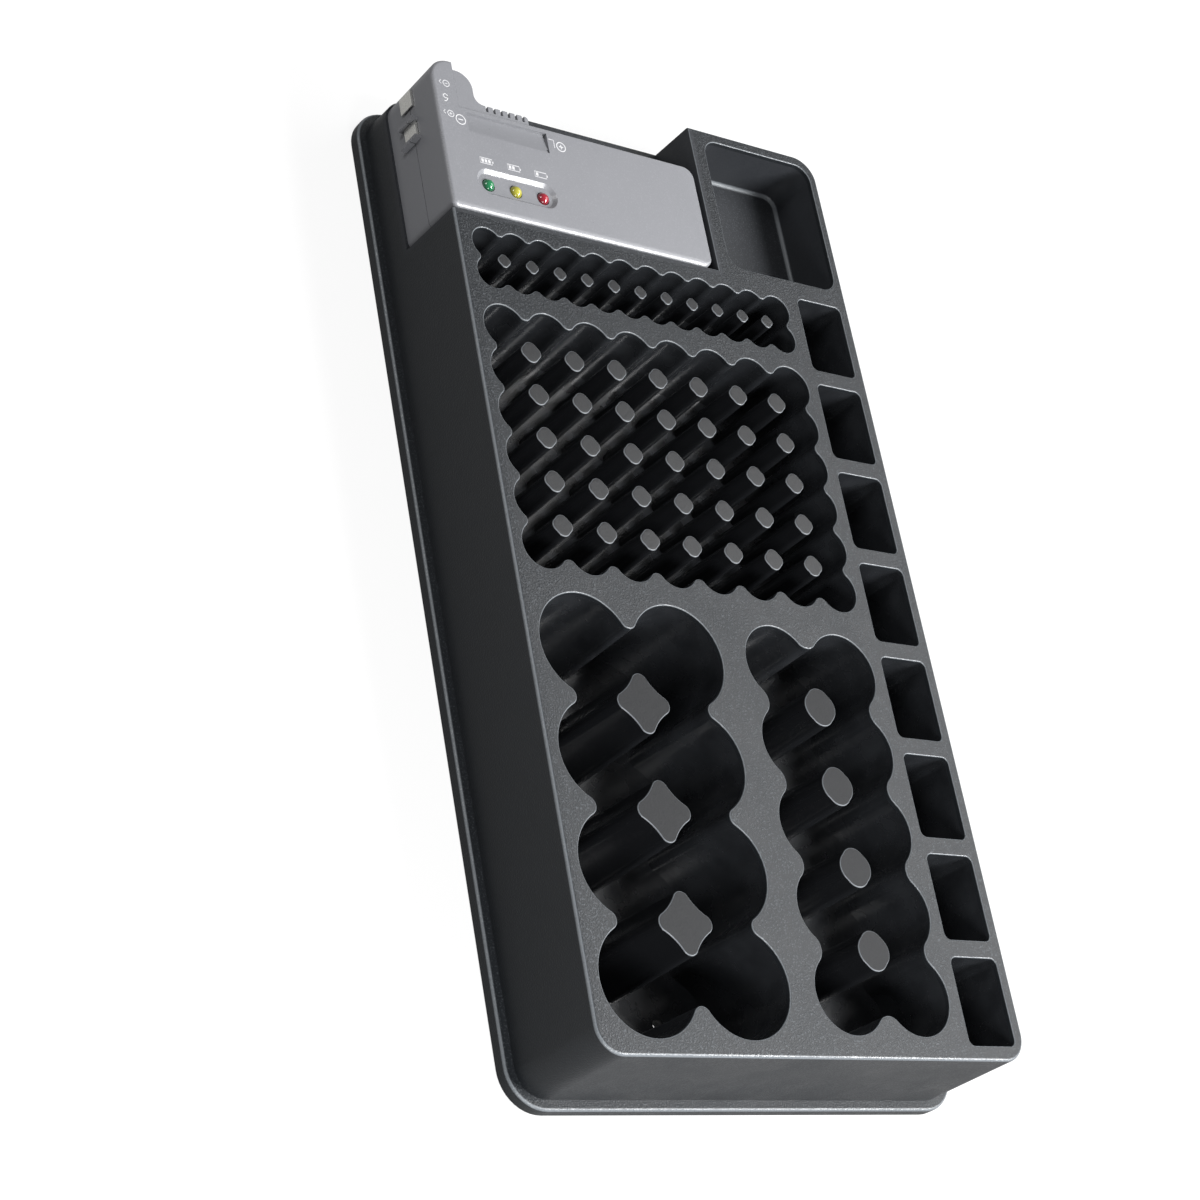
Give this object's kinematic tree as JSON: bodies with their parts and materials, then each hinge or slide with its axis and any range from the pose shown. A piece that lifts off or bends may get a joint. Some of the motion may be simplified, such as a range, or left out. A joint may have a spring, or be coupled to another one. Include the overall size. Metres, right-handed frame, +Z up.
{
  "type": "battery storage drawer case",
  "caption": "Low open tray with scalloped wells for round cells, block cell pockets, an accessory bin and a removable battery tester with a sliding jaw.",
  "frame": {"origin": "middle of the case's underside", "axes": "+X across the case's width, away from the tester's side contacts; +Y along its length towards the tester and the bin; +Z up out of the wells"},
  "size_m": [0.1836, 0.3626, 0.0465],
  "materials": {
    "case_plastic": "fine moulded texture",
    "liner_plastic": "smooth moulded",
    "tester_plastic": "fine moulded texture",
    "slider_plastic": "fine moulded texture",
    "contact_steel": "nickel plated",
    "screw_steel": "zinc plated",
    "board_laminate": "solder mask",
    "lamp_green": "clear tinted",
    "lamp_yellow": "clear tinted",
    "lamp_red": "clear tinted"
  },
  "bodies": {
    "case": {"case_shell": "case_plastic", "tester_bay": "case_plastic", "aa_well_liner": "liner_plastic", "aaa_well_liner": "liner_plastic", "c_well_liner": "liner_plastic", "d_well_liner": "liner_plastic", "block_cell_pockets": "liner_plastic", "accessory_bin": "liner_plastic", "aa_well_posts": "liner_plastic", "aaa_well_posts": "liner_plastic", "c_well_posts": "liner_plastic", "d_well_posts": "liner_plastic", "base_plate": "case_plastic", "base_screws": "screw_steel"},
    "tester": {"tester_top_shell": "tester_plastic", "tester_bottom_shell": "tester_plastic", "tester_screws": "screw_steel", "board_screws": "screw_steel", "circuit_board": "board_laminate", "led_green": "lamp_green", "led_yellow": "lamp_yellow", "led_red": "lamp_red", "block_contact_minus": "contact_steel", "block_contact_plus": "contact_steel", "fixed_cell_contact": "contact_steel", "guide_rod": "screw_steel", "return_spring": "screw_steel"},
    "slider": {"slider": "slider_plastic", "slider_contact": "contact_steel"}
  },
  "joints": [
    {"name": "tester_lift", "type": "slide", "parent": "case", "child": "tester", "axis": [0, 0, 1], "range_m": [0, 0.04]},
    {"name": "slider_slide", "type": "slide", "parent": "tester", "child": "slider", "axis": [1, 0, 0], "range_m": [0, 0.062], "stiffness_N_per_m": 60, "springref_m": -0.01, "deforming": ["return_spring"]}
  ]
}
